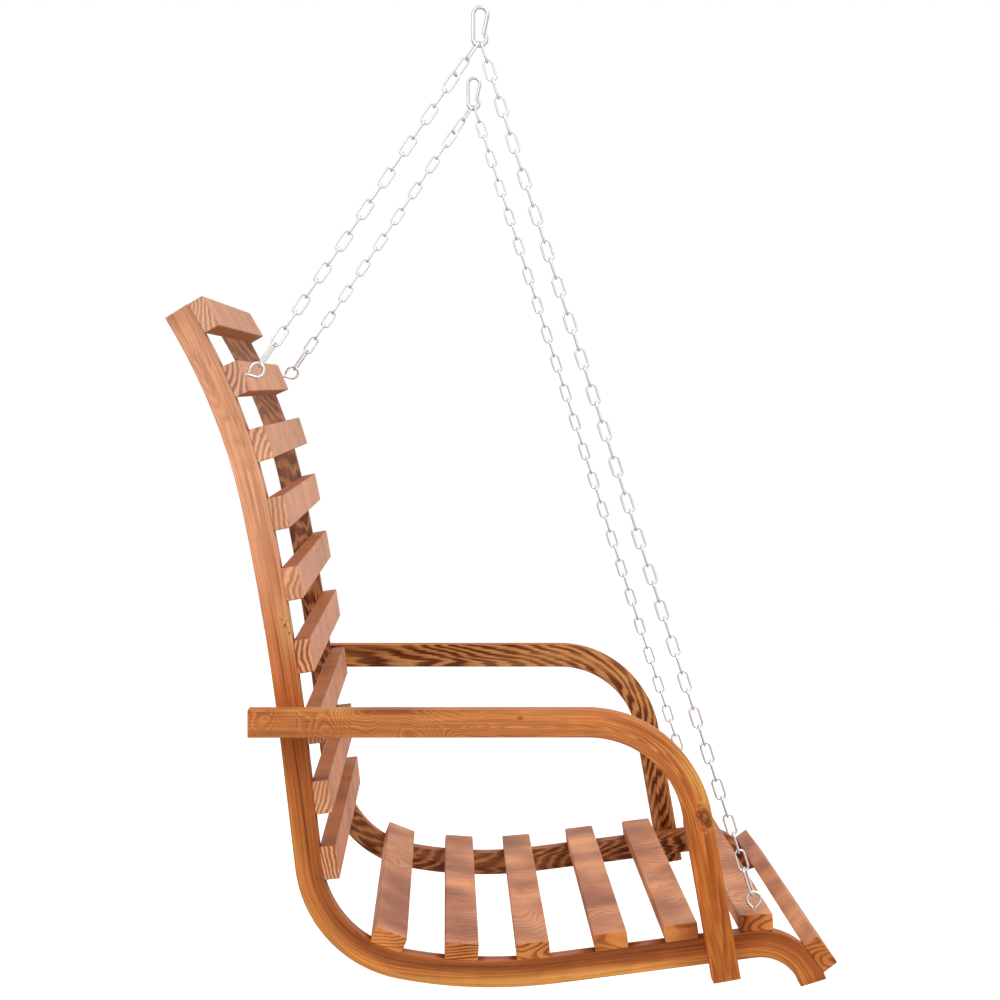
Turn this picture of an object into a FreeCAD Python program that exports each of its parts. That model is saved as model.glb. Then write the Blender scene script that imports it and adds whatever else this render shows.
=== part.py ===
import FreeCAD, Part
import math
import os

# Two-seat hanging porch swing of bent wood, in millimetres and degrees.
# X runs across the bench, the sitter faces -Y, and +Z is up.

V = FreeCAD.Vector

# Bench width
rail_span = 1172.0          # over the outer faces of the two side rails
slat_end_inset = 0.5        # slat ends stop short of those faces

# Slats
slat_width = 31.5
slat_thickness = 16.0
slat_housing = 0.4          # depth of the flat cut in the rail under a slat
front_slat_housing = 2.0    # the same on the tight curl at the front
edge_round = 1.2            # eased edges of all wood

# Side rails: angles are slopes from level along the rail, front tip to top end
rail_thickness = 25.0       # in the side view
rail_width = 43.0           # across the bench
tip_angle = 72.7
seat_rise = 7.3
dish_end_angle = 10.7
back_angle = 83.4
lumbar_end_angle = 78.3
top_angle = 58.3
curl_radius = 52.0
seat_run = 188.0
dish_radius = 462.0
corner_radius = 107.0
back_run = 114.5
lumbar_radius = 2500.0
head_radius = 580.0

# Slat centres along the rail: seat from its front tip, back from its top end
seat_slat_places = [425.0, 349.5, 279.5, 205.0, 138.5, 69.0, 18.0]
back_slat_gaps = [65.0, 63.0, 64.5, 66.5, 68.5, 66.5, 66.0, 62.0]

# Arms, bolted outside the rails
arm_thickness = 26.0
arm_width = 44.0
arm_height = 250.5          # middle of the level part
arm_overhang = 27.0         # level part past the rail's back face
arm_run = 316.0
arm_radius = 104.0
leg_lean = 10.0
leg_run = 156.5

# Slat screws, driven from the rails' outer edges
screw_diameter = 4.0
screw_head_diameter = 8.0
screw_head_height = 2.4
screw_sink = 0.5
screw_grip = 11.0           # length in the slat
screw_spread = 22.0         # between the two screws of one joint
wood_margin = 1.0           # wood left between fasteners that cross
recess_span = 4.6           # cross recess in the head
recess_width = 1.1
recess_depth = 1.6

# Arm bolts, washers, threaded inserts and the wooden plugs over the heads
bolt_diameter = 6.0
bolt_head_diameter = 10.0
bolt_head_height = 6.0
bolt_socket_width = 5.0
bolt_socket_depth = 3.0
washer_diameter = 12.0
washer_thickness = 1.6
plug_diameter = 13.0
plug_thickness = 4.0
insert_diameter = 9.5
insert_length = 18.0
bolt_reach = 15.0           # thread held in the insert
rear_bolt_lift = 7.0        # above the arm's middle, clear of the slat screws

# Screw eyes, on the second back slat and the sixth seat slat
eye_wire = 2.8
eye_radius = 6.6            # ring, to the middle of the wire
eye_neck_radius = 3.0
eye_taper = 40.0            # lean of the drop-shaped ring's two legs
eye_end_gap = 0.6           # between the ring's free end and the leg beside it
eye_standoff = 12.4         # ring centre above the slat's face
eye_depth = 34.0            # shank below the slat's face
eye_point = 4.0
rear_eye_slat = 2
front_eye_slat = 6

# Hanging axis, at the middle of the hooks' lower bows
hang_setback = 20.5
hang_height = 889.0

# Chains of welded links
link_wire = 2.2
link_width = 11.0
link_pitch = 17.8           # aimed at; the exact pitch fills the distance
link_gap = 0.2
end_link_extra = 6.5        # the last link, on the eye, is longer
end_link_turn = 20.0        # and is turned this far from square to the eye
twist_shares = (20.0, 25.0, 25.0, 20.0)     # of a quarter turn in an even chain, from the hook on

# Spring snap hooks
hook_wire = 4.0
hook_length = 40.0
hook_top_radius = 6.7
hook_low_radius = 6.2
pivot_angle = 125.0         # gate pivot on the lower bow, from +Y
pivot_margin = 16.0         # the bow runs on this far past the pivot
nose_run = 3.5
lap_length = 2.6
tongue_thickness = 1.6
tongue_reach = 2.5
fork_slot = 2.0
fork_reach = 2.9
rivet_diameter = 1.4
rivet_head_diameter = 2.6
rivet_head_height = 0.4
spring_diameter = 2.0
spring_wire = 0.4
spring_length = 5.6

# Clearances
fit_gap = 0.1               # fasteners in wood
run_gap = 0.05              # a pin that something turns on
move_gap = 0.3              # between pieces that move past each other
hook_gap = 0.15             # chain on hook and on eye

sides = {"right": -1, "left": 1}
across = V(1, 0, 0)


# Paths in the side view: a start point, a heading and steps of (length, turn)
def run(length):
    return length, 0.0


def bend(radius, turn):
    return radius * math.radians(abs(turn)), turn


def advance(point, heading, length, turn):
    half = math.radians(turn) / 2
    chord = length * math.sin(half) / half if half else length
    way = math.radians(heading) + half
    return (point[0] + chord * math.cos(way), point[1] + chord * math.sin(way)), heading + turn


def follow(path, distance):
    point, heading, steps = path
    for length, turn in steps:
        part = min(distance, length)
        point, heading = advance(point, heading, part, turn * part / length)
        distance -= part
    return point, heading


def path_length(path):
    return sum(length for length, turn in path[2])


def beside(point, heading, offset):
    way = math.radians(heading)
    return point[0] - offset * math.sin(way), point[1] + offset * math.cos(way)


def polar(centre, radius, angle):
    way = math.radians(angle)
    return centre[0] + radius * math.cos(way), centre[1] + radius * math.sin(way)


def spot(x, point):
    return V(x, point[0], point[1])


def local_frame(x, point, heading):
    # Local Y runs along the path and local Z to its left
    return FreeCAD.Placement(spot(x, point), FreeCAD.Rotation(across, heading))


def placed(shape, placement):
    copy = shape.copy()
    copy.Placement = placement.multiply(copy.Placement)
    return copy


def bent_bar(path, thickness, x, width):
    # Bar of even thickness along a path, with eased edges
    point, heading, steps = path
    start = (point, heading)
    edges = []
    for length, turn in steps:
        middle = advance(point, heading, length / 2, turn / 2)
        end = advance(point, heading, length, turn)
        for offset in (-thickness / 2, thickness / 2):
            a, b, c = [spot(x, beside(p, h, offset)) for p, h in ((point, heading), middle, end)]
            edges.append(Part.Arc(a, b, c).toShape() if turn else Part.makeLine(a, c))
        point, heading = end
    for p, h in (start, end):
        ends = [spot(x, beside(p, h, offset)) for offset in (-thickness / 2, thickness / 2)]
        edges.append(Part.makeLine(ends[0], ends[1]))
    outline = Part.Wire(Part.__sortEdges__(edges))
    bar = Part.Face(outline).extrude(V(width, 0, 0))
    corners = [spot(x, beside(p, h, s * thickness / 2)) for p, h in (start, end) for s in (-1, 1)]
    bar = bar.makeFillet(edge_round, [e for e in bar.Edges if starts_at(e, corners, width)])
    return bar.makeFillet(edge_round, [e for e in bar.Edges if e.BoundBox.XLength < edge_round / 2])


def starts_at(edge, corners, width):
    # Whether an edge runs across the bar from one of the outline's corners
    near = min(edge.Vertexes, key=lambda v: v.Point.x).Point
    level = abs(edge.BoundBox.XLength - width) < edge_round / 2
    return level and any(near.distanceToPoint(c) < edge_round / 2 for c in corners)


def rod_along(path, diameter, x):
    # Round wire along a path
    point, heading, steps = path
    pieces = []
    for length, turn in steps:
        way = V(0, math.cos(math.radians(heading)), math.sin(math.radians(heading)))
        circle = Part.makeCircle(diameter / 2, spot(x, point), way)
        disc = Part.Face(Part.Wire(circle))
        if turn:
            radius = length / math.radians(abs(turn))
            centre = beside(point, heading, math.copysign(radius, turn))
            axis = V(math.copysign(1, turn), 0, 0)
            pieces.append(disc.revolve(spot(x, centre), axis, abs(turn)))
        else:
            pieces.append(disc.extrude(way * length))
        point, heading = advance(point, heading, length, turn)
    return pieces[0].fuse(pieces[1:]).removeSplitter().Solids[0]


def cylinder(diameter, x_from, x_to, point):
    # Round bar across the bench
    return Part.makeCylinder(diameter / 2, x_to - x_from, spot(x_from, point), across)


def upright(diameter, z_from, z_to, x=0.0, y=0.0):
    return Part.makeCylinder(diameter / 2, z_to - z_from, V(x, y, z_from))


def export(name, solids):
    shape = solids[0] if len(solids) == 1 else Part.makeCompound(solids)
    shape.exportStep("parts/" + name + ".step")
    print(name, len(solids), round(shape.Volume, 1), shape.isValid())


# Rail path, placed so that the bench stands centred with its lowest edge at Z 0
rail_steps = [
    bend(curl_radius, -(tip_angle + seat_rise)),
    run(seat_run),
    bend(dish_radius, seat_rise + dish_end_angle),
    bend(corner_radius, back_angle - dish_end_angle),
    run(back_run),
    bend(lumbar_radius, lumbar_end_angle - back_angle),
    bend(head_radius, top_angle - lumbar_end_angle),
]
loose_path = ((0.0, 0.0), tip_angle, rail_steps)
dish_low = rail_steps[0][0] + seat_run + bend(dish_radius, seat_rise)[0]
lowest = beside(*follow(loose_path, dish_low), -rail_thickness / 2)[1]
rearmost = beside(*follow(loose_path, path_length(loose_path)), -rail_thickness / 2)[0]
front_seat = rail_thickness / 2 - front_slat_housing
tip_point, tip_heading = follow(loose_path, seat_slat_places[-1])
slat_top = beside(tip_point, tip_heading, front_seat + slat_thickness)
foremost = advance(slat_top, tip_heading, -slat_width / 2, 0.0)[0][0]
tip = (-(rearmost + foremost) / 2, -lowest)
rail_path = (tip, tip_angle, rail_steps)
rail_length = path_length(rail_path)
rail_middle = (rail_span - rail_width) / 2

# Arm path, from its back end forward and down the leg
def rail_place(miss, low, high):
    # Distance along the rail, between two limits, where a measure of its point changes sign
    for _ in range(40):
        middle = (low + high) / 2
        if miss(follow(rail_path, middle)[0]) * miss(follow(rail_path, high)[0]) > 0:
            high = middle
        else:
            low = middle
    return high


crossing = rail_place(lambda p: p[1] - arm_height, dish_low, rail_length)
back_face = beside(*follow(rail_path, crossing), -rail_thickness / 2)[0]
arm_start = (back_face + arm_overhang, arm_height)
arm_path = (arm_start, 180.0, [run(arm_run), bend(arm_radius, 90.0 - leg_lean), run(leg_run)])

# Slat places along the rail, and a way to keep what crosses the rail clear of them
back_places = [rail_length - slat_width / 2]
for gap in back_slat_gaps:
    back_places.append(back_places[-1] - gap)
eye_places = [back_places[rear_eye_slat - 1], seat_slat_places[front_eye_slat - 1]]


def stand_aside(place, others, clear):
    # A place along the rail, moved off the nearest of the others where it comes too close
    nearest = min(others, key=lambda other: abs(other - place))
    short = clear + 2 * fit_gap + wood_margin - abs(place - nearest)
    return place + math.copysign(short, place - nearest) if short > 0 else place


# Arm bolts go through where rail and arm cross, at the back and at the leg
leg_top = follow(arm_path, path_length(arm_path) - leg_run)[0]
lean_slope = math.tan(math.radians(leg_lean))
bolt_runs = [
    rail_place(lambda p: p[1] - arm_height - rear_bolt_lift, dish_low, rail_length),
    rail_place(lambda p: p[0] - leg_top[0] + (leg_top[1] - p[1]) * lean_slope, 0.0, dish_low),
]
bolt_runs = [stand_aside(place, eye_places, (bolt_diameter + eye_wire) / 2) for place in bolt_runs]
bolt_places = [follow(rail_path, distance)[0] for distance in bolt_runs]


# Slat stations: a point and heading on the rail, the seat's height and how far the screws stand aside
def station(place, seat):
    screws_at = stand_aside(place, bolt_runs, (plug_diameter + screw_diameter) / 2)
    return (*follow(rail_path, place), seat, screws_at - place)


common_seat = rail_thickness / 2 - slat_housing
stations = {}
for number, place in enumerate(back_places, 1):
    stations["back_slat_%d" % number] = station(place, common_seat)
for number, place in enumerate(seat_slat_places, 1):
    last = number == len(seat_slat_places)
    stations["seat_slat_%d" % number] = station(place, front_seat if last else common_seat)

# Eye places: ring centre and the heading of its slat
eye_stations = {
    "rear": stations["back_slat_%d" % rear_eye_slat],
    "front": stations["seat_slat_%d" % front_eye_slat],
}


def eye_centre(end):
    point, heading, seat, _ = eye_stations[end]
    return beside(point, heading, seat + slat_thickness + eye_standoff)


# Slats with their screw and eye holes
def slat_blank():
    length = rail_span - 2 * slat_end_inset
    box = Part.makeBox(length, slat_width, slat_thickness, V(-length / 2, -slat_width / 2, 0))
    return box.makeFillet(edge_round, box.Edges)


def screw_places():
    return [side * rail_middle + s * screw_spread / 2 for side in sides.values() for s in (-1, 1)]


def screw_form(x, shift, gap=0.0, opening=0.0):
    # Countersunk screw along local Z with its head at the rail's outer edge
    top = -rail_thickness / 2 + screw_sink
    head = screw_head_diameter / 2 + gap
    shank = screw_diameter / 2 + gap
    cone = Part.makeCone(head, shank, screw_head_height, V(x, shift, top))
    screw = cone.fuse(upright(2 * shank, top, rail_thickness / 2 + screw_grip + gap, x, shift))
    if opening:
        screw = screw.fuse(upright(2 * head, top - opening, top, x, shift))
    return screw.removeSplitter()


def slat_screw(x, shift):
    top = -rail_thickness / 2 + screw_sink
    arms = []
    for long, wide in ((recess_span, recess_width), (recess_width, recess_span)):
        arms.append(Part.makeBox(long, wide, recess_depth, V(x - long / 2, shift - wide / 2, top)))
    return screw_form(x, shift).cut(arms).Solids[0]


def eye_path(end):
    # Bent wire: shank, neck and a drop-shaped ring whose free end stops beside the neck
    taper = math.radians(eye_taper)
    leg = eye_radius / math.tan(taper)
    neck = eye_neck_radius * math.tan(taper / 2)
    shank = eye_depth + eye_standoff - eye_radius / math.sin(taper) - neck - eye_point
    stop = (eye_end_gap + eye_wire / 2 * (1 + math.cos(2 * taper))) / math.sin(2 * taper)
    steps = [
        run(shank),
        bend(eye_neck_radius, eye_taper),
        run(leg - neck),
        bend(eye_radius, -180.0 - 2 * eye_taper),
        run(leg - stop),
    ]
    point, heading, seat, _ = eye_stations[end]
    start = beside(point, heading, seat + slat_thickness - eye_depth + eye_point)
    return start, heading + 90.0, steps


def eye_shank(end, gap):
    # The shank's hole, from the point up through the slat
    point, heading, seat, _ = eye_stations[end]
    top = seat + slat_thickness
    hole = upright(eye_wire + 2 * gap, top - eye_depth - gap, top + eye_depth)
    return placed(hole, local_frame(0.0, point, heading))


def screw_eye(end, x):
    start, heading, steps = eye_path(end)
    rod = rod_along((start, heading, steps), eye_wire, x)
    axis = V(0, math.cos(math.radians(heading)), math.sin(math.radians(heading)))
    point = Part.makeCone(eye_wire / 2, eye_wire / 10, eye_point, spot(x, start), axis * -1)
    return rod.fuse(point).removeSplitter().Solids[0]


eye_of_slat = {"back_slat_%d" % rear_eye_slat: "rear", "seat_slat_%d" % front_eye_slat: "front"}
screws = {"back": [], "seat": []}
for name, (point, heading, seat, shift) in stations.items():
    here = local_frame(0.0, point, heading)
    slat = placed(slat_blank(), here.multiply(FreeCAD.Placement(V(0, 0, seat), FreeCAD.Rotation())))
    tools = [placed(screw_form(x, shift, fit_gap), here) for x in screw_places()]
    if name in eye_of_slat:
        hole = eye_shank(eye_of_slat[name], fit_gap)
        tools += [hole.translated(V(side * rail_middle, 0, 0)) for side in sides.values()]
    export(name, slat.cut(tools).Solids)
    screws[name.split("_")[0]] += [placed(slat_screw(x, shift), here) for x in screw_places()]
for group, solids in screws.items():
    export(group + "_slat_screws", solids)


# Arm fasteners, measured from the rail's inner face towards the arm
def bolt_set(side, point):
    inner = rail_span / 2 - rail_width
    seat = inner + plug_thickness + bolt_head_height + washer_thickness
    tip_x = rail_span / 2 + bolt_reach
    shank = cylinder(bolt_diameter, seat - washer_thickness, tip_x, point)
    head = cylinder(bolt_head_diameter, inner + plug_thickness, seat - washer_thickness, point)
    flat = bolt_socket_width / math.sqrt(3)
    hexagon = Part.makePolygon(
        [spot(inner + plug_thickness, polar(point, flat, 60.0 * i)) for i in range(7)]
    )
    socket = Part.Face(hexagon).extrude(V(bolt_socket_depth, 0, 0))
    bolt = shank.fuse(head).removeSplitter().cut(socket)
    washer = cylinder(washer_diameter, seat - washer_thickness, seat, point)
    washer = washer.cut(cylinder(bolt_diameter + 2 * fit_gap, seat - washer_thickness, seat, point))
    plug = cylinder(plug_diameter, inner, inner + plug_thickness, point)
    insert = cylinder(insert_diameter, rail_span / 2, rail_span / 2 + insert_length, point)
    insert = insert.cut(cylinder(bolt_diameter + 2 * fit_gap, rail_span / 2, tip_x + insert_length, point))
    in_rail = cylinder(bolt_diameter + 2 * fit_gap, inner, rail_span / 2, point)
    pocket = cylinder(plug_diameter + 2 * fit_gap, inner, seat, point)
    in_arm = cylinder(insert_diameter + 2 * fit_gap, rail_span / 2, rail_span / 2 + insert_length, point)
    made = {
        "bolt": bolt,
        "washer": washer,
        "plug": plug,
        "insert": insert,
        "rail_hole": in_rail.fuse(pocket),
        "arm_hole": in_arm,
    }
    return made if side > 0 else {k: s.mirror(V(0, 0, 0), across) for k, s in made.items()}


bolt_sets = {name: [bolt_set(side, p) for p in bolt_places] for name, side in sides.items()}
for node, kind in (
    ("arm_bolts", "bolt"),
    ("arm_bolt_washers", "washer"),
    ("arm_bolt_plugs", "plug"),
    ("arm_inserts", "insert"),
):
    export(node, [s[kind].Solids[0] for name in sides for s in bolt_sets[name]])

# Side rails with their flats and holes, and the arms outside them
for name, side in sides.items():
    x_low = min(side * rail_span / 2, side * (rail_span / 2 - rail_width))
    rail = bent_bar(rail_path, rail_thickness, x_low, rail_width)
    tools = [s["rail_hole"] for s in bolt_sets[name]]
    for point, heading, seat, shift in stations.values():
        here = local_frame(side * rail_middle, point, heading)
        deep = Part.makeBox(
            2 * rail_width, slat_width, slat_thickness, V(-rail_width, -slat_width / 2, seat)
        )
        tools.append(placed(deep, here))
        for s in (-1, 1):
            x = s * screw_spread / 2
            tools.append(placed(screw_form(x, shift, fit_gap, screw_head_height), here))
    for end in eye_stations:
        tools.append(eye_shank(end, fit_gap).translated(V(side * rail_middle, 0, 0)))
    export(name + "_side_rail", rail.cut(tools).Solids)
    x_low = min(side * rail_span / 2, side * (rail_span / 2 + arm_width))
    arm = bent_bar(arm_path, arm_thickness, x_low, arm_width)
    export(name + "_arm", arm.cut([s["arm_hole"] for s in bolt_sets[name]]).Solids)
    for end in eye_stations:
        export("%s_%s_screw_eye" % (name, end), [screw_eye(end, side * rail_middle)])


# Chains, from the hooks' lower bows to the screw eyes
hang_point = (hang_setback, hang_height)


def link(length):
    # One welded link about the origin, upright in the side view
    radius = (link_width - link_wire) / 2
    straight = length - 2 * radius
    steps = [run(straight), bend(radius, 180.0), run(straight), bend(radius, 180.0)]
    return rod_along(((radius, -straight / 2), 90.0, steps), link_wire, 0.0)


def chain(end):
    # Links of one chain in the side view, hook end first
    eye = eye_centre(end)
    reach = math.dist(hang_point, eye)
    down = V(0, (eye[0] - hang_point[0]) / reach, (eye[1] - hang_point[1]) / reach)
    first = hook_low_radius - hook_wire / 2 - hook_gap - link_wire / 2
    final = reach - eye_radius + eye_wire / 2 + hook_gap + link_wire / 2
    overlap = link_wire + link_gap
    span = final - first - overlap - end_link_extra
    count = round(span / link_pitch)
    pitch = span / count
    tilt = FreeCAD.Rotation(across, math.degrees(math.atan2(-down.y, down.z)))
    twists = twist_shares if count % 2 == 0 else ()
    solids = []
    for i in range(count):
        last = i == count - 1
        length = pitch + overlap + (end_link_extra if last else 0.0)
        roll = 90.0 + 90.0 * i - sum(twists[:i + 1]) + (end_link_turn if last else 0.0)
        centre = spot(0.0, hang_point) + down * (first + length / 2 + i * pitch)
        turn = tilt.multiply(FreeCAD.Rotation(V(0, 0, 1), roll))
        solids.append(placed(link(length), FreeCAD.Placement(centre, turn)))
    print(end, "chain", count, "links, pitch", round(pitch, 3))
    return solids


chains = {end: chain(end) for end in eye_stations}
for name, side in sides.items():
    shift = V(side * rail_middle, 0, 0)
    export(name + "_top_links", [chains[end][0].translated(shift) for end in eye_stations])
    for end in eye_stations:
        export("%s_%s_chain" % (name, end), [s.translated(shift) for s in chains[end][1:]])

# Spring snap hooks: lower bow about the hanging axis, spine, top bow and nose
spine_y = hang_setback + hook_low_radius
spine_run = hook_length - hook_low_radius - hook_top_radius - hook_wire
pivot = polar(hang_point, hook_low_radius, pivot_angle)
top_centre = (spine_y - hook_top_radius, hang_height + spine_run)
rise = math.dist(pivot, top_centre)
lean = math.degrees(math.atan2(top_centre[1] - pivot[1], top_centre[0] - pivot[0]))
gate_heading = lean + math.degrees(math.asin(hook_top_radius / rise))
gate_length = math.sqrt(rise**2 - hook_top_radius**2) - nose_run
bow_start = pivot_angle - pivot_margin


def along_gate(distance, offset=0.0):
    # Point on the gate's line, and to its outer side by an offset
    ahead = advance(pivot, gate_heading, distance, 0.0)[0]
    return beside(ahead, gate_heading, offset)


def gate_block(x, t_from, t_to, n_from, n_to):
    # Block across the gate between two distances and two offsets
    frame = local_frame(x, pivot, gate_heading)
    size = 2 * hook_wire
    box = Part.makeBox(size, t_to - t_from, n_to - n_from, V(-size / 2, t_from, n_from))
    return placed(box, frame)


def hook_body(x):
    steps = [
        bend(hook_low_radius, 360.0 - bow_start),
        run(spine_run),
        bend(hook_top_radius, gate_heading + 180.0 - 90.0),
        run(nose_run + lap_length),
    ]
    start = polar(hang_point, hook_low_radius, bow_start)
    body = rod_along((start, bow_start + 90.0, steps), hook_wire, x)
    half = hook_wire
    cheeks = [
        cylinder(2 * tongue_reach, x + tongue_thickness / 2, x + half, pivot),
        cylinder(2 * tongue_reach, x - half, x - tongue_thickness / 2, pivot),
    ]
    lap = gate_block(x, gate_length - lap_length - hook_wire, gate_length, -hook_wire, move_gap / 2)
    bore = cylinder(rivet_diameter + 2 * run_gap, x - half, x + half, pivot)
    return body.cut(cheeks + [lap, bore]).Solids[0]


def hook_gate(x):
    ends = gate_length - move_gap
    rod = rod_along((pivot, gate_heading, [run(ends)]), hook_wire, x)
    knuckle = cylinder(hook_wire, x - hook_wire / 2, x + hook_wire / 2, pivot)
    ball = Part.makeSphere(hook_wire / 2, spot(x, pivot))
    gate = rod.fuse(knuckle.common(cylinder_along_gate(x)))
    gate = gate.fuse(ball).removeSplitter()
    lap = gate_block(x, ends - lap_length - move_gap, ends + hook_wire, -move_gap / 2, hook_wire)
    slot = cylinder(2 * fork_reach, x - fork_slot / 2, x + fork_slot / 2, pivot)
    bore = cylinder(rivet_diameter + 2 * run_gap, x - hook_wire, x + hook_wire, pivot)
    well = rod_along(
        (pivot, gate_heading, [run(fork_reach + spring_length)]), spring_diameter + 2 * fit_gap, x
    )
    return gate.cut([lap, slot, bore, well]).Solids[0]


def cylinder_along_gate(x):
    # Envelope that keeps the knuckle inside the gate's round section
    start = along_gate(-hook_wire)
    return rod_along((start, gate_heading, [run(2 * hook_wire)]), hook_wire, x)


def gate_rivet(x):
    half = hook_wire / 2 + fit_gap
    rivet = cylinder(rivet_diameter, x - half, x + half, pivot)
    for low, high in ((-half - rivet_head_height, -half), (half, half + rivet_head_height)):
        rivet = rivet.fuse(cylinder(rivet_head_diameter, x + low, x + high, pivot))
    return rivet.removeSplitter().Solids[0]


def gate_spring(x):
    start = along_gate(fork_reach + fit_gap)
    path = (start, gate_heading, [run(spring_length - 2 * fit_gap)])
    return rod_along(path, spring_diameter, x).cut(rod_along(path, spring_diameter - 2 * spring_wire, x))


for name, side in sides.items():
    x = side * rail_middle
    export(name + "_hook_body", [hook_body(x)])
    export(name + "_hook_gate", [hook_gate(x)])
    export(name + "_gate_rivet", [gate_rivet(x)])
    export(name + "_gate_spring", [gate_spring(x).Solids[0]])
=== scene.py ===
import math

import bmesh
import bpy
import numpy as np
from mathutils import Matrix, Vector


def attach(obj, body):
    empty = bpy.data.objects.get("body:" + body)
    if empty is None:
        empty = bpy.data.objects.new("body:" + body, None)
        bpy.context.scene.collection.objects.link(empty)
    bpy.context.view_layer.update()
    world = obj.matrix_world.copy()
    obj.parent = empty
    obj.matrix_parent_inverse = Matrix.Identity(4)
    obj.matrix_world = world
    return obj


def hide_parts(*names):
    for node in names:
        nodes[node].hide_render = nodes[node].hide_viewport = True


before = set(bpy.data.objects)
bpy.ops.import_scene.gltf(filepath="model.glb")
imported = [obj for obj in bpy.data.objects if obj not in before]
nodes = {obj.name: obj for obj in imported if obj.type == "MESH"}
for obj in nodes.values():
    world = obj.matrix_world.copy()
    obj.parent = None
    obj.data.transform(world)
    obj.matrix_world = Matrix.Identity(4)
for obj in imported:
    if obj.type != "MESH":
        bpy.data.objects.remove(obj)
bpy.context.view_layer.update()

scene = bpy.context.scene
scene.view_settings.view_transform = "Standard"
noiseSpan = {"From Min": 0.3, "From Max": 0.7}  # most of a noise field lies between these
print("frame loaded:", len(nodes), "nodes")


def linear(hexText):  # sRGB hex to linear RGBA
    values = [int(hexText[i:i + 2], 16) / 255 for i in (1, 3, 5)]
    return [v / 12.92 if v <= 0.04045 else ((v + 0.055) / 1.055) ** 2.4 for v in values] + [1.0]


def addNode(tree, kind, settings=None, links=None):
    node = tree.nodes.new(kind)
    for key, value in (settings or {}).items():
        if key == "stops":
            ramp = node.color_ramp.elements
            while len(ramp) < len(value):
                ramp.new(0.5)
            for element, (position, level) in zip(ramp, value):
                element.position = position
                element.color = [level, level, level, 1.0]
        elif isinstance(key, int) or key in node.inputs:
            node.inputs[key].default_value = value
        else:
            setattr(node, key, value)
    for socket, source in (links or {}).items():
        tree.links.new(source, node.inputs[socket])
    return node


def newMaterial(name):
    material = bpy.data.materials.new(name)
    material.use_nodes = True
    material.node_tree.nodes.clear()
    return material


def perMetre(sizesMm):  # repeats per metre along, across and through the grain
    return [1000 / size for size in sizesMm]


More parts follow.
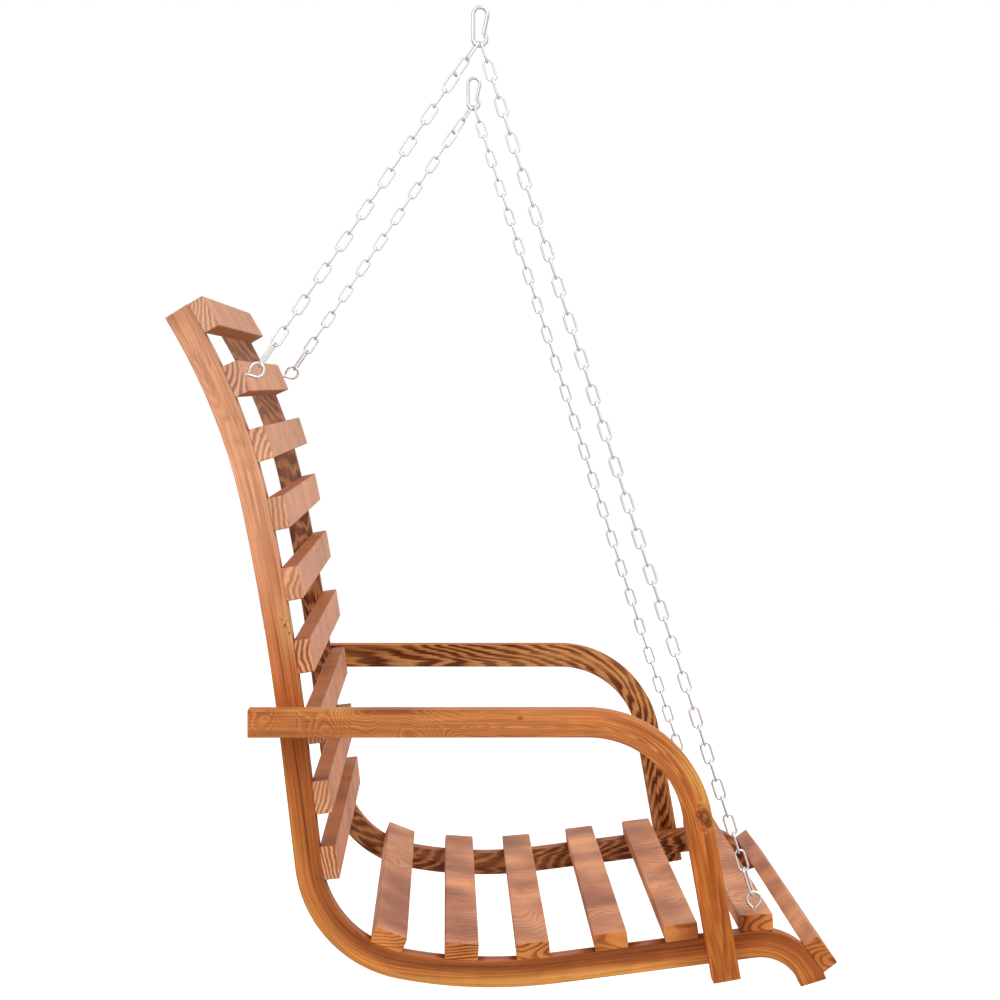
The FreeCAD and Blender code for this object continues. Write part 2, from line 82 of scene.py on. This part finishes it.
def woodFinish(name, look):
    material = newMaterial(name)
    tree = material.node_tree
    coordinates = addNode(tree, "ShaderNodeTexCoord").outputs
    place = spot = coordinates["Object"]
    if look["grainMap"]:
        grain = addNode(tree, "ShaderNodeAttribute", {"attribute_name": look["grainMap"]})
        place = grain.outputs["Vector"]
    along, across, _ = addNode(tree, "ShaderNodeSeparateXYZ", {}, {0: place}).outputs
    sideways, _, height = addNode(tree, "ShaderNodeSeparateXYZ", {}, {0: spot}).outputs

    # noise fields, each stretched along the grain
    fields = {}
    for key, (*sizesMm, detail) in look["fields"].items():
        scaled = addNode(tree, "ShaderNodeVectorMath",
                         {"operation": "MULTIPLY_ADD", 1: perMetre(sizesMm), 2: look["offset"]},
                         {0: place})
        noise = addNode(tree, "ShaderNodeTexNoise", {"Scale": 1.0, "Detail": detail},
                        {"Vector": scaled.outputs[0]})
        fields[key] = noise.outputs[0]

    # arched figure over one stretch of the grain, straight figure over the rest
    figure = fields["ring"]
    if look["archStretch"]:
        archFrom, archTo = look["archStretch"]
        arched = addNode(tree, "ShaderNodeMapRange",
                         {"interpolation_type": "SMOOTHSTEP", "From Min": archFrom, "From Max": archTo},
                         {"Value": along})
        mixed = addNode(tree, "ShaderNodeMix", {}, {0: arched.outputs[0], 2: figure, 3: fields["arch"]})
        figure = mixed.outputs[0]

    # knots push the rings aside and are dark by their stops, from the heart out to a ragged edge
    hearts = []
    for knotAlong, knotAcross, radius in look["knots"]:
        apart = addNode(tree, "ShaderNodeVectorMath",
                        {"operation": "SUBTRACT", 1: (knotAlong, knotAcross, 0)}, {0: place})
        flat = addNode(tree, "ShaderNodeVectorMath",
                       {"operation": "MULTIPLY", 1: (look["knotSlim"] / radius, 1 / radius, 0)},
                       {0: apart.outputs[0]})
        away = addNode(tree, "ShaderNodeVectorMath", {"operation": "LENGTH"}, {0: flat.outputs[0]})
        push = addNode(tree, "ShaderNodeMapRange",
                       {"interpolation_type": "SMOOTHSTEP", "From Min": look["knotReach"],
                        "From Max": 0.0, "To Max": look["knotPush"]},
                       {"Value": away.outputs["Value"]})
        pushed = addNode(tree, "ShaderNodeMath", {"operation": "ADD"}, {0: figure, 1: push.outputs[0]})
        figure = pushed.outputs[0]
        ragged = addNode(tree, "ShaderNodeMath", {"operation": "MULTIPLY_ADD", 1: look["knotRagged"]},
                         {0: fields["ragged"], 2: away.outputs["Value"]})
        reach = addNode(tree, "ShaderNodeMath", {"operation": "DIVIDE", 1: look["knotReach"]},
                        {0: ragged.outputs[0]})
        heart = addNode(tree, "ShaderNodeValToRGB", {"stops": look["knotStops"]}, {"Fac": reach.outputs[0]})
        hearts.append(heart.outputs["Color"])

    # bold figure on the faces that look outward (slat ends) or inward (bent bars), plain figure elsewhere
    tiltX, _, tiltZ = addNode(tree, "ShaderNodeSeparateXYZ", {}, {0: coordinates["Normal"]}).outputs
    side = addNode(tree, "ShaderNodeMath", {"operation": "SIGN"}, {0: sideways})
    outward = addNode(tree, "ShaderNodeMath", {"operation": "MULTIPLY"}, {0: tiltX, 1: side.outputs[0]})
    boldFrom, boldTo = look["boldTilt"]
    bold = addNode(tree, "ShaderNodeMapRange", {"From Min": boldFrom, "From Max": boldTo},
                   {"Value": outward.outputs[0]}).outputs[0]

    # heart bands, sapwood strips and cracks on the plain faces, and full-width bands of painted light and
    # painted shade, with edges that wander with the patches
    wander = addNode(tree, "ShaderNodeMath",
                     {"operation": "MULTIPLY_ADD", 1: look["wander"], 2: -look["wander"] / 2},
                     {0: fields["patch"]})
    wandered = addNode(tree, "ShaderNodeMath", {"operation": "ADD"}, {0: across, 1: wander.outputs[0]})
    ground = {kind: addNode(tree, "ShaderNodeRGB").outputs[0] for kind in ("plain", "bold")}
    for kind, socket in ground.items():
        socket.default_value = linear(look[kind]["early"])
    endFade, edgeFade = look["streakFades"]
    for (start, stop), (low, high), hexText, strength in look["streaks"]:
        spans = ((along, start, stop, endFade, strength), (wandered.outputs[0], low, high, edgeFade, 1.0))
        masks = []
        for axis, first, last, fade, most in spans:
            half = (last - first) / 2
            offset = addNode(tree, "ShaderNodeMath", {"operation": "SUBTRACT", 1: (first + last) / 2},
                             {0: axis})
            offset = addNode(tree, "ShaderNodeMath", {"operation": "ABSOLUTE"}, {0: offset.outputs[0]})
            masks.append(addNode(tree, "ShaderNodeMapRange",
                                 {"interpolation_type": "SMOOTHSTEP", "From Min": half * (1 + fade),
                                  "From Max": half * (1 - fade), "To Max": most},
                                 {"Value": offset.outputs[0]}).outputs[0])
        mask = addNode(tree, "ShaderNodeMath", {"operation": "MULTIPLY"}, {0: masks[0], 1: masks[1]})
        ground["plain"] = addNode(tree, "ShaderNodeMix", {"data_type": "RGBA", 7: linear(hexText)},
                                  {0: mask.outputs[0], 6: ground["plain"]}).outputs[2]

    # growth rings: evenly spaced levels of the figure, leaning across the bar and frayed by the fibres, each
    # darkening from early to late wood, and stronger in some places than in others
    lates = {}
    showFrom, showTo = look["showSpan"]
    for kind, source in (("plain", figure), ("bold", fields["bold"])):
        cut = look[kind]
        level = addNode(tree, "ShaderNodeMath", {"operation": "MULTIPLY", 1: cut["rings"]}, {0: source})
        leans = [(cut["leanAlong"], along), (cut["leanAcross"], across),
                 (cut["fray"], fields["fibre"]), (cut["flame"], fields["flame"])]
        if cut["slant"]:
            slantFrom, slantTo, slantRings = cut["slant"]
            slant = addNode(tree, "ShaderNodeMapRange",
                            {"From Min": slantFrom, "From Max": slantTo, "To Max": slantRings},
                            {"Value": along})
            leans.append((1.0, slant.outputs[0]))
        for lean, axis in leans:
            level = addNode(tree, "ShaderNodeMath", {"operation": "MULTIPLY_ADD", 1: lean},
                            {0: axis, 2: level.outputs[0]})
        phase = addNode(tree, "ShaderNodeMath", {"operation": "FRACT"}, {0: level.outputs[0]})
        late = addNode(tree, "ShaderNodeValToRGB", {"stops": cut["stops"]}, {"Fac": phase.outputs[0]})
        lates[kind] = late.outputs["Color"]
        strength = addNode(tree, "ShaderNodeMapRange",
                           {"From Min": showFrom, "From Max": showTo, "To Min": cut["least"],
                            "To Max": cut["most"]},
                           {"Value": fields["show"]})
        amount = addNode(tree, "ShaderNodeMath", {"operation": "MULTIPLY"},
                         {0: strength.outputs[0], 1: late.outputs["Color"]})
        ground[kind] = addNode(tree, "ShaderNodeMix",
                               {"data_type": "RGBA", "blend_type": "MULTIPLY", 7: linear(cut["late"])},
                               {0: amount.outputs[0], 6: ground[kind]}).outputs[2]

    # painted light makes the bold faces paler towards the top of the back; painted shade makes the top and
    # bottom faces of the back slats browner, where they lie between their neighbours
    if look["paintedTopLight"]:
        topLightFrom, topLightTo, topLightColour, topLightMost = look["paintedTopLight"]
        paintedTopLight = addNode(tree, "ShaderNodeMapRange",
                         {"From Min": topLightFrom, "From Max": topLightTo, "To Max": topLightMost},
                         {"Value": height})
        ground["bold"] = addNode(tree, "ShaderNodeMix", {"data_type": "RGBA", 7: linear(topLightColour)},
                                 {0: paintedTopLight.outputs[0], 6: ground["bold"]}).outputs[2]
    # painted shade: faces that look up or down, between neighbouring slats, are browner
    if look["paintedGapShade"]:
        gapShadeFrom, gapShadeTo, gapShadeColour = look["paintedGapShade"]
        steep = addNode(tree, "ShaderNodeMath", {"operation": "ABSOLUTE"}, {0: tiltZ})
        gapShade = addNode(tree, "ShaderNodeMapRange", {"From Min": gapShadeFrom, "From Max": gapShadeTo},
                       {"Value": steep.outputs[0]})
        ground["plain"] = addNode(tree, "ShaderNodeMix",
                                  {"data_type": "RGBA", "blend_type": "MULTIPLY", 7: linear(gapShadeColour)},
                                  {0: gapShade.outputs[0], 6: ground["plain"]}).outputs[2]
    colour = addNode(tree, "ShaderNodeMix", {"data_type": "RGBA"},
                     {0: bold, 6: ground["plain"], 7: ground["bold"]}).outputs[2]
    late = addNode(tree, "ShaderNodeMix", {}, {0: bold, 2: lates["plain"], 3: lates["bold"]}).outputs[0]

    # dark patches of the seat slats are also redder
    if look["patchTint"]:
        tintFrom, tintTo, tintColour = look["patchTint"]
        redder = addNode(tree, "ShaderNodeMapRange", {"From Min": tintFrom, "From Max": tintTo},
                         {"Value": fields["patch"]})
        colour = addNode(tree, "ShaderNodeMix",
                         {"data_type": "RGBA", "blend_type": "MULTIPLY", 7: linear(tintColour)},
                         {0: redder.outputs[0], 6: colour}).outputs[2]

    # patches, fibres and ripple each lighten and darken the wood
    for key, (darkest, lightest) in look["depths"].items():
        shade = addNode(tree, "ShaderNodeMapRange", {**noiseSpan, "To Min": darkest, "To Max": lightest},
                        {"Value": fields[key]})
        colour = addNode(tree, "ShaderNodeVectorMath", {"operation": "SCALE"},
                         {0: colour, "Scale": shade.outputs[0]}).outputs[0]
    for heart in hearts:
        colour = addNode(tree, "ShaderNodeMix", {"data_type": "RGBA", 7: linear(look["knotColour"])},
                         {0: heart, 6: colour}).outputs[2]

    smoothest, roughest = look["roughness"]
    rough = addNode(tree, "ShaderNodeMapRange", {**noiseSpan, "To Min": smoothest, "To Max": roughest},
                    {"Value": fields["fibre"]})
    relief = addNode(tree, "ShaderNodeMath", {"operation": "MULTIPLY_ADD", 1: -look["lateDip"]},
                     {0: late, 2: fields["fibre"]})
    bump = addNode(tree, "ShaderNodeBump", {"Strength": look["bump"], "Distance": look["reliefMm"] / 1000},
                   {"Height": relief.outputs[0]})
    shader = addNode(tree, "ShaderNodeBsdfPrincipled",
                     {"IOR": look["ior"], "Specular IOR Level": look["sheen"]},
                     {"Base Color": colour, "Roughness": rough.outputs[0], "Normal": bump.outputs[0]})
    addNode(tree, "ShaderNodeOutputMaterial", {}, {"Surface": shader.outputs[0]})
    return material


# flat-sawn seat slats, stained and oiled: copper brown faces with soft dark smudges and a wavy figure that
# comes and goes, a few broad rings on the ends; fibres drawn three times as coarse as they are, to show
slatLook = {
    "grainMap": "",
    "offset": (3.0, 11.0, 5.0),
    "fields": {  # sizes in mm along, across and through the grain, then the noise's detail
        "ring": (220, 44, 44, 1.0),
        "bold": (4000, 80, 30, 0.6),
        "patch": (190, 60, 60, 1.5),
        "show": (420, 90, 90, 0.5),
        "flame": (90, 12, 12, 1.0),
        "fibre": (60, 1.6, 1.6, 2.0),
        "ripple": (62, 60, 60, 1.5),
    },
    "archStretch": None,
    "plain": {
        "rings": 8.0,
        "leanAlong": 30.0,
        "leanAcross": 0.0,
        "slant": None,
        "fray": 0.4,
        "flame": 1.0,
        "stops": [(0.0, 0.0), (0.5, 0.3), (0.8, 1.0), (1.0, 0.0)],
        "early": "#D89262",
        "late": "#B08C7C",
        "least": 0.1,
        "most": 0.55,
    },
    "bold": {
        "rings": 17.0,
        "leanAlong": 0.0,
        "leanAcross": 0.0,
        "slant": None,
        "fray": 0.15,
        "flame": 0.5,
        "stops": [(0.0, 0.0), (0.45, 0.1), (0.7, 1.0), (0.9, 0.8), (1.0, 0.0)],
        "early": "#C67C42",
        "late": "#8A6450",
        "least": 0.55,
        "most": 1.0,
    },
    "boldTilt": (0.6, 0.8),  # how far outward a face looks before its figure is bold
    "showSpan": (0.4, 0.6),  # the show field where the rings are weakest and strongest
    "patchTint": (0.58, 0.36, "#FFE4D6"),  # the patch field where the tint starts and is full
    "paintedTopLight": None,
    "paintedGapShade": None,
    "wander": 0.016,  # metres
    "streaks": [],
    "streakFades": (0.6, 0.5),  # soft share of a streak at its ends and its edges
    "knots": [],
    "depths": {"patch": (0.56, 1.36), "fibre": (0.88, 1.12), "ripple": (0.88, 1.12)},
    "roughness": (0.42, 0.58),
    "ior": 1.46,
    "sheen": 0.08,
    "bump": 0.06,
    "reliefMm": 0.5,
    "lateDip": 0.5,
}

# back slats, planed: the same wood, calmer in figure, with pinker faces, painted shade that browns the top
# and bottom faces between the slats, painted light towards the top, and paler, straighter rings on the ends
backLook = {
    **slatLook,
    "offset": (9.0, 3.0, 1.0),
    "fields": {**slatLook["fields"], "ring": (420, 30, 30, 1.0), "bold": (4000, 60, 60, 0.4)},
    "plain": {
        **slatLook["plain"],
        "leanAlong": 0.0,
        "flame": 0.4,
        "early": "#DA956E",
        "late": "#B89C92",
        "least": 0.05,
        "most": 0.28,
    },
    "bold": {
        **slatLook["bold"],
        "rings": 9.0,
        "leanAcross": 190.0,
        "fray": 0.2,
        "flame": 0.9,
        "stops": [(0.0, 0.0), (0.3, 0.1), (0.5, 1.0), (0.8, 0.9), (1.0, 0.0)],
        "early": "#E4A476",
        "late": "#94685A",
        "least": 0.6,
    },
    "patchTint": None,
    "paintedTopLight": (0.32, 0.56, "#F6DDD0", 0.15),  # painted light from above: heights in metres, colour, strength at the top
    # painted shade between the slats: steepness of the normal where it starts and is full, colour
    "paintedGapShade": (0.5, 0.8, "#CEAE7C"),
    "depths": {"patch": (0.84, 1.14), "fibre": (0.88, 1.12), "ripple": (0.9, 1.1)},
}

# steam-bent rails: orange brown, grain along the bend, a dark heart band beside a pale strip of sapwood at
# the lower edge, flamed on the inner faces where the rings are cut at a slant; streaks (from and to along
# the bar, from and to across it, colour, strength) and knots (along, across, radius) are in metres
railLook = {
    **slatLook,
    "grainMap": "grain",
    "offset": (7.0, 2.0, 9.0),
    "fields": {
        "ring": (700, 26, 26, 1.0),
        "arch": (170, 24, 24, 1.0),
        "bold": (100, 30, 30, 1.0),
        "patch": (240, 14, 14, 1.0),
        "show": (200, 16, 16, 1.0),
        "flame": (70, 7, 7, 1.5),
        "fibre": (70, 1.6, 1.6, 2.0),
        "ripple": (14, 24, 24, 1.0),
        "ragged": (7, 5, 5, 1.0),
    },
    "archStretch": (0.90, 1.0),
    "plain": {
        "rings": 16.0,
        "leanAlong": 0.0,
        "leanAcross": 180.0,
        "slant": None,
        "fray": 1.0,
        "flame": 0.0,
        "stops": [(0.0, 0.1), (0.5, 0.4), (0.85, 1.0), (1.0, 0.1)],
        "early": "#BE6C36",
        "late": "#B8A29A",
        "least": 0.4,
        "most": 0.8,
    },
    "bold": {
        "rings": 5.0,
        "leanAlong": 48.0,
        "leanAcross": 62.0,
        "slant": None,
        "fray": 0.7,
        "flame": 1.4,
        "stops": [(0.0, 0.1), (0.22, 0.25), (0.42, 1.0), (0.88, 0.85), (1.0, 0.1)],
        "early": "#BE7A4C",
        "late": "#74524A",
        "least": 0.7,
        "most": 1.0,
    },
    "boldTilt": (-0.3, -0.8),
    "patchTint": None,
    # painted light from above on the bold faces: heights in metres, colour, strength at the top
    "paintedTopLight": (0.32, 0.56, "#F0CDB8", 0.2),
    "streaks": [
        # painted light from above: the whole width paler over the upper end of the back
        ((0.80, 1.25), (-0.030, 0.030), "#E8AA84", 0.85),
        ((0.03, 0.50), (-0.020, -0.003), "#DC984F", 0.85),
        ((0.48, 0.74), (-0.020, -0.009), "#D2904A", 0.75),
        ((0.10, 0.54), (0.0, 0.0115), "#7A4022", 0.55),
        ((0.545, 0.66), (-0.0006, 0.0006), "#5A2D18", 0.8),
        ((0.745, 0.80), (0.003, 0.016), "#D9A468", 0.6),
    ],
    "knots": [(0.7690, 0.0070, 0.0014), (0.7745, 0.0052, 0.0008), (0.7610, 0.0100, 0.0010)],
    "knotSlim": 0.6,
    "knotReach": 3.0,
    "knotPush": 0.12,
    "knotRagged": 0.8,
    "knotStops": [(0.0, 0.9), (0.25, 0.8), (0.45, 0.3), (0.6, 0.0)],
    "knotColour": "#6A3216",
    "depths": {"patch": (0.86, 1.14), "fibre": (0.8, 1.2), "ripple": (0.95, 1.05)},
    "bump": 0.12,
}

# steam-bent arms: orange brown with arched figure near the back end and knots below a pale patch on the
# bend; the left arm's inner face slants more on its leg
armLook = {
    **railLook,
    "offset": (1.0, 6.0, 4.0),
    "fields": {
        **railLook["fields"],
        "ring": (520, 26, 26, 1.0),
        "arch": (52, 34, 34, 0.4),
        "bold": (160, 30, 30, 1.0),
    },
    "archStretch": (0.26, 0.16),
    "plain": {
        **railLook["plain"],
        "rings": 30.0,
        "leanAcross": 60.0,
        "stops": [(0.0, 0.0), (0.3, 0.7), (0.75, 1.0), (1.0, 0.0)],
        "early": "#D0844A",
        "late": "#C0A296",
        "least": 0.45,
        "most": 0.9,
    },
    "bold": {
        **railLook["bold"],
        "leanAlong": -28.0,
        "leanAcross": 105.0,
        "slant": (2.40, 2.62, -7.0),
        "flame": 1.5,
        "stops": [(0.0, 0.0), (0.32, 0.15), (0.5, 1.0), (0.88, 0.9), (1.0, 0.0)],
        "early": "#D2935A",
        "late": "#7E5A50",
        "least": 0.5,
    },
    "paintedTopLight": None,
    "streaks": [
        ((0.035, 0.105), (-0.020, -0.0075), "#DE9A54", 0.75),
        ((0.10, 0.16), (-0.020, -0.0095), "#8A4522", 0.7),
        # painted shade lower down: the whole width darker and more saturated along the leg
        ((0.44, 0.66), (-0.030, 0.030), "#D0742E", 0.7),
        ((0.408, 0.470), (-0.019, -0.005), "#E2A65A", 0.75),
    ],
    "knots": [
        (0.4640, -0.0062, 0.0034),
        (0.4600, -0.0008, 0.0016),
        (0.4690, -0.0080, 0.0020),
        (0.2530, -0.0053, 0.0011),
    ],
    "knotStops": [(0.0, 0.5), (0.3, 0.3), (0.45, 0.9), (0.6, 0.4), (0.8, 0.0)],
}

seatWood = woodFinish("flat_sawn_teak_stained_wood", slatLook)
backWood = woodFinish("planed_teak_stained_wood", backLook)
railWood = woodFinish("steam_bent_teak_stained_rail_wood", railLook)
armWood = woodFinish("steam_bent_teak_stained_arm_wood", armLook)


def steelFinish(name, look):
    material = newMaterial(name)
    tree = material.node_tree
    place = addNode(tree, "ShaderNodeTexCoord").outputs["Object"]
    noise = addNode(tree, "ShaderNodeTexNoise",
                    {"Scale": 1000 / look["spangleMm"], "Detail": look["spangleDetail"]}, {"Vector": place})
    spangle = noise.outputs[0]
    tint = addNode(tree, "ShaderNodeMix",
                   {"data_type": "RGBA", 6: linear(look["bright"]), 7: linear(look["dull"])}, {0: spangle})
    smoothest, roughest = look["roughness"]
    gloss = addNode(tree, "ShaderNodeMapRange", {**noiseSpan, "To Min": smoothest, "To Max": roughest},
                    {"Value": spangle})
    marks = addNode(tree, "ShaderNodeBump", {"Strength": look["bump"], "Distance": look["reliefMm"] / 1000},
                    {"Height": spangle})
    metal = addNode(tree, "ShaderNodeBsdfPrincipled", {"Metallic": 1.0},
                    {"Base Color": tint.outputs[2], "Roughness": gloss.outputs[0],
                     "Normal": marks.outputs[0]})
    addNode(tree, "ShaderNodeOutputMaterial", {}, {"Surface": metal.outputs[0]})
    return material


# bright zinc on drawn steel wire: a pale, nearly mirror-like sheen, broken by faint spangle
chainLook = {
    "bright": "#EEEEEC",
    "dull": "#D0D0CE",
    "spangleMm": 7.0,
    "spangleDetail": 2.0,
    "roughness": (0.2, 0.3),
    "bump": 0.02,
    "reliefMm": 0.2,
}
# the hooks are heavier wire, tumbled before plating: the same metal, greyer and softer in its shine
hookLook = {**chainLook, "bright": "#E4E4E2", "dull": "#C5C5C3", "roughness": (0.26, 0.36)}
chainSteel = steelFinish("bright_zinc_steel_wire", chainLook)
hookSteel = steelFinish("tumbled_zinc_spring_steel", hookLook)
print("finishes made")

# finish of each node by the start of its name, the first that fits; all others are chain steel
finishes = {
    "seat_slat_screws": chainSteel,
    "back_slat_screws": chainSteel,
    "seat_slat": seatWood,
    "back_slat": backWood,
    "right_side_rail": railWood,
    "left_side_rail": railWood,
    "arm_bolt_plugs": railWood,
    "right_arm": armWood,
    "left_arm": armWood,
    "right_hook": hookSteel,
    "left_hook": hookSteel,
    "right_gate": hookSteel,
    "left_gate": hookSteel,
}
for name, node in nodes.items():
    known = [finish for start, finish in finishes.items() if name.startswith(start)]
    node.data.materials.clear()
    node.data.materials.append((known + [chainSteel])[0])

# grain paths in the side view, in millimetres: where the bar starts, its heading, then straight runs
# (length) and bends (radius, turn); the left bar's grain is read further on, so that the two differ
bentPieces = {
    "side_rail": {
        "start": (-292.42, 4.02),
        "heading": 72.7,
        "steps": [
            {"radius": 52.0, "turn": -80.0},
            {"length": 188.0},
            {"radius": 462.0, "turn": 18.0},
            {"radius": 107.0, "turn": 72.7},
            {"length": 114.5},
            {"radius": 2500.0, "turn": -5.1},
            {"radius": 580.0, "turn": -20.0},
        ],
        "finish": railWood,
    },
    "arm": {
        "start": (236.6, 250.5),
        "heading": 180.0,
        "steps": [{"length": 316.0}, {"radius": 104.0, "turn": 80.0}, {"length": 156.5}],
        "finish": armWood,
    },
}
grainSettings = {"stepMm": 1.0, "leftShift": 2.0, "mergeGap": 1e-6, "sharpAngle": 35.0}


def samplePath(path):  # rows of Y, Z, heading and distance in metres, a step apart
    y, z = [value / 1000 for value in path["start"]]
    heading, walked, rows = math.radians(path["heading"]), 0.0, []
    for step in path["steps"]:
        turn = math.radians(step.get("turn", 0.0))
        lengthMm = step["length"] if "length" in step else step["radius"] * abs(turn)
        count = math.ceil(lengthMm / grainSettings["stepMm"])
        bit, veer = lengthMm / 1000 / count, turn / count
        for _ in range(count):
            rows.append((y, z, heading, walked))
            y += bit * math.cos(heading + veer / 2)
            z += bit * math.sin(heading + veer / 2)
            heading += veer
            walked += bit
    rows.append((y, z, heading, walked))
    return np.array(rows)


def grainedCopy(nodeName, path):
    # a merged copy of the bent bar that also knows, at each vertex, how far along and across the grain it is
    work = bmesh.new()
    work.from_mesh(nodes[nodeName].data)
    bmesh.ops.remove_doubles(work, verts=work.verts, dist=grainSettings["mergeGap"])
    mesh = bpy.data.meshes.new(nodeName + "_grained")
    work.to_mesh(mesh)
    work.free()
    rows = samplePath(path)
    corners = np.zeros(len(mesh.vertices) * 3)
    mesh.vertices.foreach_get("co", corners)
    corners = corners.reshape(-1, 3)
    nearest = [np.argmin((rows[:, 0] - y) ** 2 + (rows[:, 1] - z) ** 2) for _, y, z in corners]
    pathY, pathZ, heading, walked = rows[nearest].T
    y, z = corners[:, 1] - pathY, corners[:, 2] - pathZ
    along = walked + y * np.cos(heading) + z * np.sin(heading)
    across = -y * np.sin(heading) + z * np.cos(heading)
    along[corners[:, 0] > 0] += grainSettings["leftShift"]
    grain = mesh.attributes.new("grain", "FLOAT_VECTOR", "POINT")
    places = np.stack([along, across, corners[:, 0]], 1)
    grain.data.foreach_set("vector", places.astype(np.float32).ravel())
    mesh.polygons.foreach_set("use_smooth", [True] * len(mesh.polygons))
    mesh.set_sharp_from_angle(angle=math.radians(grainSettings["sharpAngle"]))
    piece = bpy.data.objects.new(nodeName + "_grained", mesh)
    scene.collection.objects.link(piece)
    mesh.materials.append(path["finish"])
    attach(piece, "bench")
    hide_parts(nodeName)


for kind, path in bentPieces.items():
    for side in ("right", "left"):
        grainedCopy(side + "_" + kind, path)
grainedCopy("arm_bolt_plugs", bentPieces["side_rail"])
print("bent pieces grained")

# white studio: even sky, two large soft lamps on the camera's side, a pale floor well below the bench
studio = {
    "skyLevel": 0.62,
    "lamps": [
        {"name": "keyLamp", "place": (-3.2, -1.8, 3.6), "size": 3.0, "power": 95.0},
        {"name": "sideLamp", "place": (-4.2, 1.8, 1.6), "size": 2.5, "power": 30.0},
    ],
    "aim": (0.0, 0.05, 0.35),
    "floorLevel": -0.35,
    "floorSize": 14.0,
    "paper": "#E7E7E7",
    "nearGlow": 0.2,  # the camera sees the floor brighten to white away from the shadow
    "farGlow": 0.75,
    "fadeFrom": 1.0,
    "fadeTo": 2.4,
    "white": "#FFFFFF",
}

world = bpy.data.worlds.new("studioWorld")
scene.world = world
world.use_nodes = True
tree = world.node_tree
tree.nodes.clear()
rays = addNode(tree, "ShaderNodeLightPath")
seen = addNode(tree, "ShaderNodeMath", {"operation": "MAXIMUM"},
               {0: rays.outputs["Is Camera Ray"], 1: rays.outputs["Is Glossy Ray"]})
seen = addNode(tree, "ShaderNodeMath", {"operation": "MAXIMUM"},
               {0: seen.outputs[0], 1: rays.outputs["Is Transmission Ray"]})
level = addNode(tree, "ShaderNodeMapRange", {"To Min": studio["skyLevel"], "To Max": 1.0},
                {"Value": seen.outputs[0]})
sky = addNode(tree, "ShaderNodeBackground", {"Color": linear(studio["white"])},
              {"Strength": level.outputs[0]})
addNode(tree, "ShaderNodeOutputWorld", {}, {"Surface": sky.outputs[0]})

for settings in studio["lamps"]:
    lamp = bpy.data.lights.new(settings["name"], "AREA")
    lamp.size = settings["size"]
    lamp.energy = settings["power"]
    holder = bpy.data.objects.new(settings["name"], lamp)
    holder.location = settings["place"]
    towards = Vector(studio["aim"]) - Vector(settings["place"])
    holder.rotation_euler = towards.to_track_quat("-Z", "Y").to_euler()
    scene.collection.objects.link(holder)

floorMaterial = newMaterial("matt_white_studio_paper")
tree = floorMaterial.node_tree
rays = addNode(tree, "ShaderNodeLightPath")
place = addNode(tree, "ShaderNodeTexCoord").outputs["Object"]
away = addNode(tree, "ShaderNodeVectorMath", {"operation": "LENGTH"}, {0: place}).outputs["Value"]
fade = addNode(tree, "ShaderNodeMapRange",
               {"From Min": studio["fadeFrom"], "From Max": studio["fadeTo"],
                "To Min": studio["nearGlow"], "To Max": studio["farGlow"]}, {"Value": away})
glow = addNode(tree, "ShaderNodeMath", {"operation": "MULTIPLY"},
               {0: rays.outputs["Is Camera Ray"], 1: fade.outputs[0]})
shine = addNode(tree, "ShaderNodeEmission", {"Color": linear(studio["white"])}, {"Strength": glow.outputs[0]})
paper = addNode(tree, "ShaderNodeBsdfDiffuse", {"Color": linear(studio["paper"])})
both = addNode(tree, "ShaderNodeAddShader", {}, {0: shine.outputs[0], 1: paper.outputs[0]})
addNode(tree, "ShaderNodeOutputMaterial", {}, {"Surface": both.outputs[0]})
work = bmesh.new()
bmesh.ops.create_grid(work, x_segments=2, y_segments=2, size=studio["floorSize"])
bmesh.ops.translate(work, verts=work.verts, vec=(0, 0, studio["floorLevel"]))
floorMesh = bpy.data.meshes.new("studioFloor")
work.to_mesh(floorMesh)
work.free()
floorMesh.materials.append(floorMaterial)
floor = bpy.data.objects.new("studioFloor", floorMesh)
scene.collection.objects.link(floor)

# camera nearly square to the bench's right side, above the arms and far off
view = {
    "place": (-5.4648, 0.0520, 0.5656),
    "forward": (0.9997, -0.01029, -0.02222),
    "lensMm": 187.85,
    "sensorMm": 36.0,
    "clipEnd": 100.0,
}
camera = bpy.data.cameras.new("sideCamera")
camera.lens = view["lensMm"]
camera.sensor_width = view["sensorMm"]
camera.clip_end = view["clipEnd"]
cameraHolder = bpy.data.objects.new("sideCamera", camera)
cameraHolder.location = view["place"]
cameraHolder.rotation_euler = Vector(view["forward"]).to_track_quat("-Z", "Y").to_euler()
scene.collection.objects.link(cameraHolder)
scene.camera = cameraHolder
print("studio and camera set")
